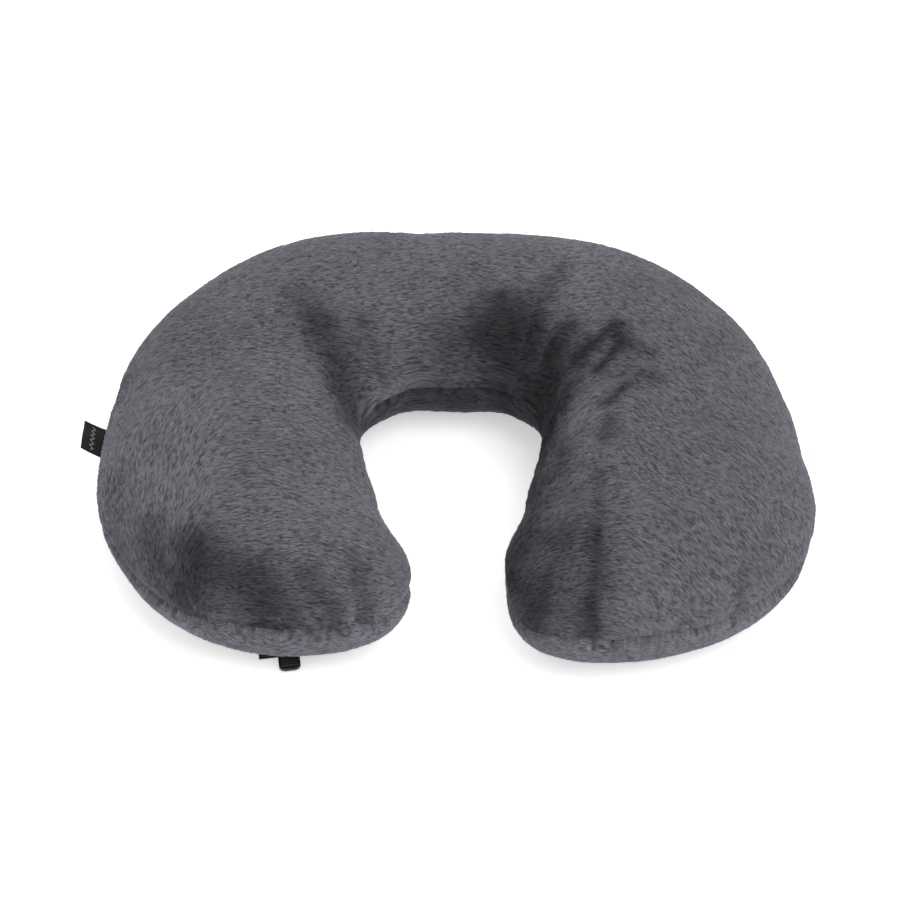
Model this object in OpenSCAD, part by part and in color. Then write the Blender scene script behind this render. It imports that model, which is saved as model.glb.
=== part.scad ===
// U shaped travel neck pillow: an air bladder inside a zip-off plush cover.
// Millimetres. +Z is up, +Y runs from the neck to the nape, and the two arms point along -Y.
// The origin is on the resting plane, under the centre of the neck opening.

/* [Pillow outline] */
// Overall width across both arms, without the side label
pillow_w = 400; // [380:5:420]
// From the neck centre back to the outer edge of the nape
nape_reach = 170; // [165:1:175]
// From the neck centre forward to the arm tips
arm_reach = 145; // [140:1:150]
// From the neck centre back to the inner edge of the nape
neck_reach = 50; // [46:1:54]
// Widest part of the neck opening
neck_w = 108; // [102:1:112]
// Narrowest gap between the two arms
gap_w = 50; // [46:1:56]
// Sideways distance of each arm tip from the middle
tip_x = 85; // [82:1:88]

/* [Pillow section] */
// Height of the perimeter seam above the resting plane
seam_z = 46; // [44:1:50]
// Height of the upper half above the seam
upper_h = 49.5; // [46:0.5:54]
// How far the base is pressed flat by the pillow's weight
base_press = 2; // [1:0.5:3]
// Squareness of the section, where 2 is an ellipse
section_power = 2.1; // [2:0.05:2.3]

/* [Cover] */
// Thickness of the plush fabric, backing and pile together
plush_t = 3; // [2.5:0.1:3.4]
// Radius of the thread that joins the two panels
thread_r = 0.4; // [0.3:0.05:0.4]
// Length of the side label along the seam
label_l = 24; // [18:1:26]
// How far the side label stands out of the seam
label_out = 11; // [8:1:12]
// Thickness of the folded side label
label_t = 1; // [0.8:0.1:1.2]

/* [Zip] */
// Length of the zip tapes
tape_l = 150; // [140:1:152]
// Width of both tapes together
tape_w = 33; // [30:1:34]
// Thickness of a tape
tape_t = 0.6; // [0.5:0.05:0.7]
// Radius of a nylon coil
coil_r = 1; // [0.9:0.05:1]
// Distance from one turn of the coil to the next
coil_pitch = 2.2; // [2:0.1:2.4]
// Length of the slider
slider_l = 10; // [9:0.5:10]
// Width of the slider
slider_w = 8.4; // [8:0.1:9]
// Length of the pull tab
tab_l = 16.5; // [14:0.5:17]
// Width of the pull tab
tab_w = 12; // [10:0.5:13]

/* [Bladder] */
// Thickness of the bladder film
film_t = 0.5; // [0.4:0.05:0.6]
// Width of the welded edge of the bladder
weld_w = 7; // [6:0.5:8]
// Clearance between the bladder and the cover
bladder_gap = 0.8; // [0.6:0.1:1]

/* [Valve] */
// Outer radius of the valve neck
neck_r = 6; // [5.5:0.1:6.2]
// Radius of the air passage
bore_r = 4; // [3.5:0.1:4.2]
// Outer radius of the cap
cap_r = 8.2; // [7.8:0.1:8.6]

/* [Hidden] */
$fn = 48;

plush_color = [0.37, 0.37, 0.39];
black_color = [0.07, 0.07, 0.08];
thread_color = [0.25, 0.25, 0.27];
film_color = [0.62, 0.66, 0.70];
valve_color = [0.85, 0.86, 0.88];
metal_color = [0.16, 0.16, 0.17];

// ---- outline: right half, from the middle of the nape to the arm tip ----
half_w = pillow_w / 2;
neck_half = neck_w / 2;
gap_half = gap_w / 2;
tip = [tip_x, -arm_reach];
outer_points = [
    [0, nape_reach],
    [0.52 * half_w, 0.93 * nape_reach],
    [0.95 * half_w, 0.44 * nape_reach],
    [half_w, -0.22 * arm_reach],
    [0.96 * half_w, -0.62 * arm_reach],
    [0.76 * half_w, -0.89 * arm_reach],
    tip
];
inner_points = [
    [0, neck_reach],
    [0.56 * neck_half, 0.94 * neck_reach],
    [neck_half, 0.32 * neck_reach],
    [0.74 * neck_half, -0.38 * arm_reach],
    [gap_half, -0.75 * arm_reach],
    [gap_half + 0.12 * arm_reach, -0.955 * arm_reach],
    tip
];

span_steps = 5;      // stations in each stretch of the outline
tip_steps = 7;       // stations in the last stretch, closing up towards the tip
tip_end = 0.997;     // the outline stops just short of the tip, where the ends are capped
section_steps = 16;  // steps across one half of the section

function mirrored(p) = [-p[0], p[1]];
function before(P, i) = i > 0 ? P[i - 1] : mirrored(P[1]);
function after(P, i) = i + 2 < len(P) ? P[i + 2] : 2 * P[i + 1] - P[i];
function blend_points(a, b, c, d, t) =
    0.5 * (2 * b + (c - a) * t + (2 * a - 5 * b + 4 * c - d) * t * t + (3 * b - a - 3 * c + d) * t * t * t);
function on_curve(P, i, t) = blend_points(before(P, i), P[i], P[i + 1], after(P, i), t);
function half_outline(P) = concat(
    [for (i = [0 : len(P) - 3]) for (k = [0 : span_steps - 1]) on_curve(P, i, k / span_steps)],
    [for (k = [0 : tip_steps]) on_curve(P, len(P) - 2, tip_end * (1 - pow(1 - k / tip_steps, 2)))]
);
function whole_outline(H) = concat([for (i = [len(H) - 1 : -1 : 1]) mirrored(H[i])], H);

outer_line = whole_outline(half_outline(outer_points));
inner_line = whole_outline(half_outline(inner_points));
stations = len(outer_line);
middle = (stations - 1) / 2;
arm_start = 3 * span_steps;  // stations from the middle to where the straight arm begins

// ---- one station: centre, half-width vector and how full the section is ----
centres = (outer_line + inner_line) / 2;
reaches = (outer_line - inner_line) / 2;
body_half = norm(reaches[middle + 4 * span_steps]);
function fullness(k) = abs(k - middle) < arm_start ? 1 : min(1, norm(reaches[k]) / body_half);
function side(k) = k > middle ? 1 : -1;
function tip_shift(k, inset) =
    let (u = reaches[k] / norm(reaches[k]), f = fullness(k))
    inset * side(k) * sqrt(1 - f * f) * [-u[1], u[0]];
function centre_at(k, inset) = centres[k] + tip_shift(k, inset);
function reach_at(k, inset) = reaches[k] * (1 - inset / body_half);
function height_at(k, h) = h * sqrt(1 - pow(1 - fullness(k), 2));

function power_cos(a) = sign(cos(a)) * pow(abs(cos(a)), 2 / section_power);
function power_sin(a) = pow(abs(sin(a)), 2 / section_power);

// ---- points of the surfaces, each a list of stations of equal length ----
dome_angles = [for (j = [0 : section_steps]) 180 * j / section_steps];
function plan(k, inset, x) = centre_at(k, inset) + reach_at(k, inset) * x;
function raised(p, z) = [p[0], p[1], z];
function upper_dome(inset, h) = [for (k = [0 : stations - 1]) [for (a = dome_angles)
    raised(plan(k, inset, power_cos(a)), seam_z + height_at(k, h) * power_sin(a))]];
function lower_dome(inset, h, base) = [for (k = [0 : stations - 1]) [for (a = dome_angles)
    raised(plan(k, inset, power_cos(a)), max(base, seam_z - height_at(k, h) * power_sin(a)))]];

// ---- closed shells between two such surfaces ----
function grid_faces(n, m, at, flip) = [for (i = [0 : n - 2]) for (j = [0 : m - 2])
    let (a = at + i * m + j, b = a + 1, c = a + m + 1, d = a + m)
    each flip ? [[a, b, c], [a, c, d]] : [[a, c, b], [a, d, c]]];
function cap_faces(m, at, flip) = [for (j = [0 : floor(m / 2) - 1])
    let (a = at + j, b = a + 1, c = at + m - 2 - j, d = c + 1)
    each b == c ? [flip ? [a, b, d] : [a, d, b]]
        : flip ? [[a, b, c], [a, c, d]] : [[a, c, b], [a, d, c]]];
function rim_faces(n, m, second) = [for (i = [0 : n - 2])
    let (a = i * m, b = a + m, c = a + second, d = b + second, e = a + m - 1, f = e + m)
    each [[a, d, b], [a, c, d], [e, f + second, e + second], [e, f, f + second]]];
function end_faces(n, m, second) =
    let (a = 0, b = m - 1, c = (n - 1) * m, d = n * m - 1)
    [[a, b + second, a + second], [a, b, b + second], [c, d + second, d], [c, c + second, d + second]];
function turned(faces, flip) = flip ? [for (f = faces) [f[0], f[2], f[1]]] : faces;

module shell(outside, inside, flip) {
    n = len(outside);
    m = len(outside[0]);
    second = n * m;
    faces = concat(
        grid_faces(n, m, 0, false),
        grid_faces(n, m, second, true),
        cap_faces(m, 0, true),
        cap_faces(m, (n - 1) * m, false),
        cap_faces(m, second, false),
        cap_faces(m, second + (n - 1) * m, true),
        rim_faces(n, m, second),
        end_faces(n, m, second)
    );
    polyhedron(
        points = concat([for (s = outside) each s], [for (s = inside) each s]),
        faces = turned(faces, flip),
        convexity = 8
    );
}

// A solid from a dome up to a little above the seam plane
dome_lid = 5;
module dome_solid(dome) {
    shell(dome, [for (s = dome) [for (p = s) [p[0], p[1], seam_z + dome_lid]]], true);
}

// ---- zip placement: its own frame has y from the front end of the tape backwards ----
zip_front = [-88, -126];
zip_turn = 10;
tape_z = 6.5;                        // outer face of the tapes
bed_z = tape_z + tape_t;             // the cover lies on the tapes here
bed_margin = 2;
recess_front = 40;                   // the recess runs out past the front of the arm
slot_w = 14;
slot_in = 8;                         // from each end of the tapes to the slot
slot_start = slot_in;
slot_end = tape_l - slot_in;
chain_gap = 0.6;                     // half the gap between the coils
coil_x = coil_r + chain_gap;
coil_z = tape_z - coil_r;
coil_start = slot_start + 1;
stop_l = 2.5;
slider_start = coil_start + stop_l;
bottom_stop_start = slot_end - 4;
slack = 0.25;                        // play between the slider and the chain
plate_t = 1;
top_plate_t = 0.8;
plate_top = tape_z - 2 * coil_r - slack;
plate_bottom = plate_top - plate_t;
pivot_in = 5.4;                      // from the front of the slider to the link's bar
pivot_drop = 0.65;
pivot_y = slider_start + pivot_in;
pivot_z = plate_bottom - pivot_drop;
link_l = 7;
link_bar_r = 0.55;
link_wire_r = 0.5;
link_half = 3.2;
eye_y = pivot_y - link_l;

module zip_frame() {
    translate([zip_front[0], zip_front[1], 0]) rotate([0, 0, zip_turn]) children();
}

// ---- bladder pieces keep clear of the zip bed and hold the valve above it ----
valve_y = 75;
sheet_z = 14.2;                      // outer face of the lower sheet above the zip
bed_clear = 38;                      // the sheet is level this far from the zip line
bed_ramp = 24;
weld_in = plush_t + 2;
bladder_in = weld_in + weld_w;
bladder_h = plush_t + bladder_gap;
zip_along = [-sin(zip_turn), cos(zip_turn)];
function zip_distance(p) =
    let (v = p - zip_front, s = max(0, min(tape_l, v * zip_along)))
    norm(v - s * zip_along);
function bed_lift(p) = max(0, min(1, (bed_clear + bed_ramp - zip_distance(p)) / bed_ramp));
function sheet_floor(p) = bladder_h + (sheet_z - bladder_h) * bed_lift(p);

function weld_ring(k, inset, x, z) = raised(plan(k, inset, x), z);
function upper_film(edge, inset, h, z) = [for (k = [0 : stations - 1]) concat(
    [weld_ring(k, edge, 1, z)],
    [for (a = dome_angles) raised(plan(k, inset, power_cos(a)), z + height_at(k, h) * power_sin(a))],
    [weld_ring(k, edge, -1, z)])];
function lower_film(edge, inset, h, z, lift) = [for (k = [0 : stations - 1]) concat(
    [weld_ring(k, edge, 1, z)],
    [for (a = dome_angles) let (p = plan(k, inset, power_cos(a)))
        raised(p, min(z, max(sheet_floor(p) + lift, z - height_at(k, h) * power_sin(a))))],
    [weld_ring(k, edge, -1, z)])];

// ======== cover ========
module cover_upper_panel() {
    color(plush_color)
        shell(upper_dome(0, upper_h), upper_dome(plush_t, upper_h - plush_t), false);
}

lower_h = seam_z + base_press;
cut_extra = 5;       // how far a cutter runs past the face that it opens

// Walls and roof of the recess that the zip lies in
module zip_bed_block() {
    zip_frame()
        translate([-tape_w / 2 - bed_margin - plush_t, -bed_margin - plush_t, -1])
            cube([tape_w + 2 * (bed_margin + plush_t), tape_l + 2 * (bed_margin + plush_t), bed_z + plush_t + 1]);
}

module zip_bed_recess() {
    zip_frame()
        translate([-tape_w / 2 - bed_margin, -recess_front, -cut_extra])
            cube([tape_w + 2 * bed_margin, tape_l + bed_margin + recess_front, bed_z + cut_extra]);
}

module zip_slot() {
    zip_frame()
        translate([-slot_w / 2, slot_start, 0])
            cube([slot_w, slot_end - slot_start, bed_z + plush_t + cut_extra]);
}

module cover_lower_panel() {
    color(plush_color)
        difference() {
            union() {
                shell(lower_dome(0, lower_h, 0), lower_dome(plush_t, lower_h - plush_t, plush_t), true);
                intersection() {
                    zip_bed_block();
                    dome_solid(lower_dome(0, lower_h, 0));
                }
            }
            zip_bed_recess();
            zip_slot();
        }
}

// Thread that runs round the inside of the seam
thread_sides = 6;
thread_in = plush_t + 0.7;
thread_path = concat(
    [for (k = [0 : stations - 1]) plan(k, thread_in, 1)],
    [for (k = [stations - 1 : -1 : 0]) plan(k, thread_in, -1)]
);
module perimeter_seam_thread() {
    n = len(thread_path);
    points = [for (i = [0 : n - 1])
        let (t = thread_path[(i + 1) % n] - thread_path[(i + n - 1) % n], u = t / norm(t), p = thread_path[i])
        for (j = [0 : thread_sides - 1]) let (a = 360 * j / thread_sides)
            [p[0] - thread_r * cos(a) * u[1], p[1] + thread_r * cos(a) * u[0], seam_z + thread_r * sin(a)]];
    faces = [for (i = [0 : n - 1]) for (j = [0 : thread_sides - 1])
        let (i2 = (i + 1) % n, j2 = (j + 1) % thread_sides,
            a = i * thread_sides + j, b = i * thread_sides + j2,
            c = i2 * thread_sides + j2, d = i2 * thread_sides + j)
        each [[a, c, b], [a, d, c]]];
    color(thread_color) polyhedron(points = points, faces = faces, convexity = 8);
}

// Folded tab caught in the seam on the outside of the left arm
label_y = -5;
label_lean = 3;
label_root = 10;     // the tab starts this far inside the outline, which then trims it
module side_label() {
    tab_out = half_w + label_out;
    color(black_color)
        translate([0, 0, seam_z - label_t / 2])
            linear_extrude(label_t)
                difference() {
                    polygon([
                        [label_root - half_w, label_y - label_l / 2],
                        [label_root - half_w, label_y + label_l / 2],
                        [-tab_out, label_y + label_l / 2 + label_lean],
                        [-tab_out, label_y - label_l / 2 + label_lean]
                    ]);
                    polygon(concat(outer_line, [for (i = [stations - 1 : -1 : 0]) inner_line[i]]));
                }
}

// ======== zip ========
module zip_tape(s) {
    edge = coil_x - coil_r;
    color(black_color)
        zip_frame()
            translate([s > 0 ? edge : -tape_w / 2, 0, tape_z])
                cube([tape_w / 2 - edge, tape_l, tape_t]);
}
module zip_tape_left() { zip_tape(-1); }
module zip_tape_right() { zip_tape(1); }

// A coil is a ribbed rod: one rib for each turn
module zip_coil(s) {
    turns = floor((bottom_stop_start - coil_start - stop_l) / coil_pitch);
    start = coil_start + stop_l;
    ribs = [for (i = [0 : turns - 1]) let (y = i * coil_pitch)
        each [[coil_r, y], [coil_r, y + 0.6 * coil_pitch],
            [0.8 * coil_r, y + 0.6 * coil_pitch], [0.8 * coil_r, y + coil_pitch]]];
    color(black_color)
        zip_frame()
            translate([s * coil_x, start, coil_z])
                rotate([-90, 0, 0])
                    rotate_extrude()
                        polygon(concat([[0, 0]], ribs, [[0, turns * coil_pitch]]));
}
module zip_coil_left() { zip_coil(-1); }
module zip_coil_right() { zip_coil(1); }

// Stitches that hold the tapes to the cover, one row along each outer edge
stitch_l = 3.2;
stitch_pitch = 5;
stitch_r = 0.25;
stitch_in = 3;
stitch_start = 5;
stitch_end = 3;
module zip_topstitching() {
    count = floor((tape_l - stitch_start - stitch_end) / stitch_pitch);
    color(thread_color)
        zip_frame()
            for (s = [-1, 1])
                for (i = [0 : count - 1])
                    translate([s * (tape_w / 2 - stitch_in), stitch_start + i * stitch_pitch, tape_z - stitch_r])
                        rotate([-90, 0, 0]) cylinder(r = stitch_r, h = stitch_l, $fn = 16);
}

// Dense stitches across both tapes, in front of the top stops and behind the bottom stop
tack_w = 9;
tack_l = 1.6;
tack_t = 0.5;
front_tack = slot_start - 3;
rear_tack = slot_end + 1.5;
module zip_bar_tacks() {
    color(thread_color)
        zip_frame()
            for (y = [front_tack, rear_tack])
                translate([-tack_w / 2, y, tape_z - tack_t]) cube([tack_w, tack_l, tack_t]);
}

// A staple round the front end of each coil
stop_w = 2.2;
stop_play = 0.1;
module zip_top_stops() {
    color(metal_color)
        zip_frame()
            for (s = [-1, 1])
                translate([s * (coil_x + stop_play) - stop_w / 2, coil_start, tape_z - 2 * coil_r + stop_play])
                    cube([stop_w, stop_l - 0.3, 2 * coil_r - stop_play]);
}

// A staple across both coils
bottom_stop_w = 6.4;
bottom_stop_l = 3;
module zip_bottom_stop() {
    color(metal_color)
        zip_frame()
            translate([-bottom_stop_w / 2, bottom_stop_start + 0.3, tape_z - 2 * coil_r - stop_play])
                cube([bottom_stop_w, bottom_stop_l, 2 * coil_r + stop_play]);
}

// The slider: two plates, a post between the coils, side walls and the arch that holds the link
module slider_plan(w) {
    l = slider_l;
    polygon([
        [-0.3 * w, 0], [0.3 * w, 0], [0.5 * w, 0.2 * l], [0.5 * w, 0.5 * l],
        [0.4 * w, l], [-0.4 * w, l], [-0.5 * w, 0.5 * l], [-0.5 * w, 0.2 * l]
    ]);
}

arch_w = 2;
arch_t = 1;
arch_leg = 1.2;
arch_start = 2;
arch_end = 8.8;
arch_bottom = plate_bottom - 2.35;
module slider_arch() {
    arch_h = plate_bottom - arch_bottom;
    translate([-arch_w / 2, arch_start, arch_bottom]) cube([arch_w, arch_end - arch_start, arch_t]);
    translate([-arch_w / 2, arch_start, arch_bottom]) cube([arch_w, arch_leg, arch_h]);
    translate([-arch_w / 2, arch_end - arch_leg, arch_bottom]) cube([arch_w, arch_leg, arch_h]);
}

wall_t = 1.1;
wall_top = tape_z - 0.3;
post_w = 0.8;
post_l = 3;
module zip_slider_body() {
    color(metal_color)
        zip_frame()
            translate([0, slider_start, 0]) {
                translate([0, 0, plate_bottom]) linear_extrude(plate_t) slider_plan(slider_w);
                translate([0, 0, bed_z + slack]) linear_extrude(top_plate_t) slider_plan(slider_w);
                translate([-post_w / 2, 0.5, plate_top]) cube([post_w, post_l, bed_z + slack - plate_top]);
                for (s = [-1, 1])
                    translate([s * (slider_w / 2 - wall_t / 2) - wall_t / 2, 0.2 * slider_l, plate_top])
                        cube([wall_t, 0.3 * slider_l, wall_top - plate_top]);
                slider_arch();
            }
}

// Wire loop: one bar runs under the slider's arch, the other through the eye of the tab
module zip_pull_link() {
    color(metal_color)
        zip_frame()
            translate([0, pivot_y, pivot_z]) {
                translate([-link_half, 0, 0]) rotate([0, 90, 0]) cylinder(r = link_bar_r, h = 2 * link_half);
                translate([-link_half, -link_l, 0]) rotate([0, 90, 0]) cylinder(r = link_wire_r, h = 2 * link_half);
                for (s = [-1, 1])
                    translate([s * link_half, 0, 0]) {
                        rotate([90, 0, 0]) cylinder(r = link_wire_r, h = link_l);
                        sphere(r = link_bar_r);
                        translate([0, -link_l, 0]) sphere(r = link_wire_r);
                    }
            }
}

tab_t = 1.8;
eye_r = 1.25;
eye_w = 4.8;
eye_bore = link_wire_r + 0.08;
rib_t = 0.4;
rib_w = 0.9;
rib_pitch = 1.8;
rib_first = 5;       // from the eye to the first rib
rib_rows = 6;
tab_root = 1.6;      // from the eye to the broad part of the tab
tab_root_r = 2.5;
tab_end_r = 3.5;
module tab_plan() {
    hull()
        for (s = [-1, 1]) {
            translate([s * (tab_w / 2 - tab_root_r), -tab_root - tab_root_r]) circle(r = tab_root_r, $fn = 32);
            translate([s * (tab_w / 2 - tab_end_r), tab_end_r - tab_l]) circle(r = tab_end_r, $fn = 32);
        }
}
module zip_pull_tab() {
    color(black_color)
        zip_frame()
            translate([0, eye_y, pivot_z]) {
                translate([0, 0, -tab_t / 2]) linear_extrude(tab_t) tab_plan();
                for (i = [0 : rib_rows - 1])
                    for (z = [-tab_t / 2 - rib_t, tab_t / 2])
                        translate([1.5 - tab_w / 2, -rib_first - i * rib_pitch, z]) cube([tab_w - 3, rib_w, rib_t]);
                difference() {
                    union() {
                        translate([-eye_w / 2, 0, 0]) rotate([0, 90, 0]) cylinder(r = eye_r, h = eye_w);
                        translate([-eye_w / 2, -2.2, -tab_t / 2]) cube([eye_w, 2.2, tab_t]);
                    }
                    translate([-eye_w, 0, 0]) rotate([0, 90, 0]) cylinder(r = eye_bore, h = 2 * eye_w);
                }
            }
}

// ======== bladder ========
module bladder_upper_sheet() {
    color(film_color)
        shell(
            upper_film(weld_in, bladder_in, upper_h - bladder_h - film_t, seam_z + film_t),
            upper_film(weld_in, bladder_in + film_t, upper_h - bladder_h - film_t, seam_z),
            false);
}

module bladder_lower_sheet() {
    color(film_color)
        difference() {
            shell(
                lower_film(weld_in, bladder_in, lower_h - bladder_h - film_t, seam_z - film_t, 0),
                lower_film(weld_in, bladder_in + film_t, lower_h - bladder_h - film_t, seam_z, film_t),
                true);
            valve_frame() cylinder(r = neck_r + 0.4, h = 40, center = true);
        }
}

// ======== valve: upright over the zip, with its cap facing down ========
module valve_frame() {
    zip_frame() translate([0, valve_y, sheet_z]) children();
}

weld_flange_r = 14;
weld_flange_t = 0.8;
valve_neck = 1.8;
valve_inner_l = 9;
web_t = 1;
web_w = 1.2;
stem_r = 0.85;
hub_r = 1.8;
module valve_weld_flange() {
    color(valve_color)
        valve_frame()
            translate([0, 0, film_t])
                difference() {
                    cylinder(r = weld_flange_r, h = weld_flange_t);
                    translate([0, 0, -1]) cylinder(r = neck_r, h = weld_flange_t + 2);
                }
}

module valve_body() {
    color(valve_color)
        valve_frame() {
            difference() {
                translate([0, 0, -valve_neck]) cylinder(r = neck_r, h = valve_neck + valve_inner_l);
                translate([0, 0, -valve_neck - 1]) cylinder(r = bore_r, h = valve_neck + valve_inner_l + 2);
            }
            difference() {
                intersection() {
                    union() {
                        cylinder(r = hub_r, h = web_t);
                        for (a = [0, 90])
                            rotate([0, 0, a]) translate([-bore_r - 0.5, -web_w / 2, 0])
                                cube([2 * bore_r + 1, web_w, web_t]);
                    }
                    cylinder(r = bore_r + 0.5, h = web_t);
                }
                translate([0, 0, -1]) cylinder(r = stem_r + 0.05, h = web_t + 2);
            }
        }
}

// Silicone disc that closes the inner end of the passage, with a stem that a finger can press
flap_r = neck_r - 0.8;
flap_t = 0.9;
module valve_check_flap() {
    color("whitesmoke")
        valve_frame() {
            translate([0, 0, valve_inner_l + 0.05]) cylinder(r = flap_r, h = flap_t);
            translate([0, 0, -0.6]) cylinder(r = stem_r, h = valve_inner_l + 1);
        }
}

// Quarter-turn cap over the neck, with grip ribs
cap_top_t = 1.1;
seal_t = 0.4;
cap_skirt = valve_neck - 0.3;
rib_count = 16;
module valve_cap() {
    inside_z = -valve_neck - 0.05;
    seat_z = inside_z - seal_t;
    base_z = seat_z - cap_top_t;
    rim_z = inside_z + cap_skirt;
    color(valve_color)
        valve_frame() {
            rotate_extrude()
                polygon([
                    [0, base_z], [cap_r, base_z], [cap_r, rim_z],
                    [neck_r + 0.05, rim_z], [neck_r + 0.05, seat_z], [0, seat_z]
                ]);
            for (i = [0 : rib_count - 1])
                rotate([0, 0, 360 * i / rib_count])
                    translate([cap_r - 0.3, -0.35, base_z + 0.2]) cube([0.7, 0.7, rim_z - base_z - 0.4]);
        }
}

module valve_cap_seal() {
    color("whitesmoke")
        valve_frame()
            translate([0, 0, -valve_neck - 0.05 - seal_t])
                difference() {
                    cylinder(r = neck_r - 0.2, h = seal_t);
                    translate([0, 0, -1]) cylinder(r = bore_r + 0.3, h = seal_t + 2);
                }
}

cover_upper_panel();
cover_lower_panel();
perimeter_seam_thread();
side_label();
zip_tape_left();
zip_tape_right();
zip_coil_left();
zip_coil_right();
zip_topstitching();
zip_bar_tacks();
zip_top_stops();
zip_bottom_stop();
zip_slider_body();
zip_pull_link();
zip_pull_tab();
bladder_upper_sheet();
bladder_lower_sheet();
valve_weld_flange();
valve_body();
valve_check_flap();
valve_cap();
valve_cap_seal();
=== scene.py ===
import math

import bpy
import numpy as np
from mathutils import Matrix, Vector


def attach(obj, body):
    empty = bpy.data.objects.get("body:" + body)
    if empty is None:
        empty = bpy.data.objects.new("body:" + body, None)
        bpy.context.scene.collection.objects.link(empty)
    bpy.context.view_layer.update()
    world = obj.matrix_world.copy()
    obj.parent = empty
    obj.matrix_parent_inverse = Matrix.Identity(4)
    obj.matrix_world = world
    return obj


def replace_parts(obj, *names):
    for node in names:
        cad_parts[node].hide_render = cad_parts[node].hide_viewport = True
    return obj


# Looks of the U shaped neck pillow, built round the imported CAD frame.
# Metres; +Z is up, +Y points to the nape, the arms point along -Y, and the floor is at z = 0.
# The tables of ribs, folds and strokes are in millimetres.

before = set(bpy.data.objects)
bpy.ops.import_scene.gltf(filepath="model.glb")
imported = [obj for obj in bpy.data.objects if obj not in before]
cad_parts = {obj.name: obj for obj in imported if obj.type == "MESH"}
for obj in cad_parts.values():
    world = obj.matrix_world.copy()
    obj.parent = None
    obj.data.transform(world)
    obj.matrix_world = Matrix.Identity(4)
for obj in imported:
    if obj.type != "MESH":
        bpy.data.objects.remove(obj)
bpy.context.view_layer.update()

MM = 0.001
SEAM_Z = 46 * MM          # height of the perimeter seam, as in the CAD
PLUSH_T = 3 * MM          # thickness of the cover's fabric
SECTION_POWER = 2.1       # roundness of the section; 2 would be an ellipse
TIP = 0.01                # share of the last stretch that is left out at each arm tip

# ======== numbers and noise ========


def smoothstep(t):
    """Soft step from 0 to 1 as t goes from 0 to 1."""
    t = np.clip(t, 0, 1)
    return t * t * (3 - 2 * t)


def noise(points, size, seed):
    """Smooth value noise between -1 and 1, with features about `size` metres across."""
    cells = 32
    table = np.random.default_rng(seed).uniform(-1, 1, (cells, cells, cells))
    q = points / size + seed * 0.37
    low = np.floor(q).astype(int)
    t = smoothstep(q - low)
    total = np.zeros(q.shape[:-1])
    for corner in np.ndindex(2, 2, 2):
        weight = np.where(corner, t, 1 - t)
        at = (low + corner) % cells
        value = table[at[..., 0], at[..., 1], at[..., 2]]
        total += weight[..., 0] * weight[..., 1] * weight[..., 2] * value
    return total


def blurred(grid, passes):
    """A grid of values smoothed along both of its directions."""
    for _ in range(passes):
        for axis in (0, 1):
            padded = np.concatenate(
                [np.take(grid, [0], axis), grid, np.take(grid, [-1], axis)], axis
            )
            n = grid.shape[axis]
            before, after = (np.take(padded, range(i, i + n), axis) for i in (0, 2))
            grid = 0.5 * grid + 0.25 * (before + after)
    return grid


# ======== outline of the pillow ========

# Ribs across the pillow from the left arm tip round the nape to the right arm tip:
# where each one meets the outer seam and the inner seam.
RIBS = [
    ((-91, -142), (-91, -142)),
    ((-145, -130), (-42, -136)),
    ((-184, -90), (-20, -107)),
    ((-202, -31), (-40, -55)),
    ((-189, 75), (-54, 16)),
    ((-114, 158), (-29, 47)),
    ((0, 170), (0, 50)),
    ((110, 156), (29, 47)),
    ((180, 78), (51, 19)),
    ((204, -30), (40, -56)),
    ((192, -92), (29, -98)),
    ((147, -129), (42, -138)),
    ((91, -144), (91, -144)),
]
SPAN_STEPS = [58, 26, 28, 44, 50, 46, 46, 50, 44, 28, 26, 58]
NAPE_H = 47.9 * MM        # height of the upper half above the seam at the nape
LEFT_H = 46.6 * MM        # and on each arm
RIGHT_H = 49.5 * MM
LOWER_H = 48 * MM
LEFT_END = 48 * MM        # length of the rounded end of each arm
RIGHT_END = 57 * MM
NAPE_REACH = 0.45         # share of the way from the nape to a tip over which the height changes
COLUMN_BIAS = 0.35        # how much closer the columns lie near the seams
SIDE_SPREAD = 0.7         # how far the steep sides are spread when the fabric is laid out


def along(points, span, t):
    """A point of the Catmull-Rom line through `points`, at share t of a stretch."""
    p = np.vstack([2 * points[0] - points[1], points, 2 * points[-1] - points[-2]])
    a, b, c, d = (p[span + i][None] for i in range(4))
    t = t[:, None]
    return 0.5 * (
        2 * b + (c - a) * t + (2 * a - 5 * b + 4 * c - d) * t**2 + (3 * b - a - 3 * c + d) * t**3
    )


def shares(steps):
    """Shares of each stretch between two ribs where the stations lie, closer together at the tips."""
    found = [np.arange(count) / count for count in steps]
    found[0] = TIP + (1 - TIP) * found[0] ** 2
    found[-1] = (1 - TIP) * (1 - (1 - np.arange(steps[-1] + 1) / steps[-1]) ** 2)
    return found


def line_of(side, steps):
    """The outer (0) or inner (1) seam line as points in plan."""
    points = np.array([rib[side] for rib in RIBS], float) * MM
    return np.concatenate([along(points, span, t) for span, t in enumerate(shares(steps))])


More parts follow.
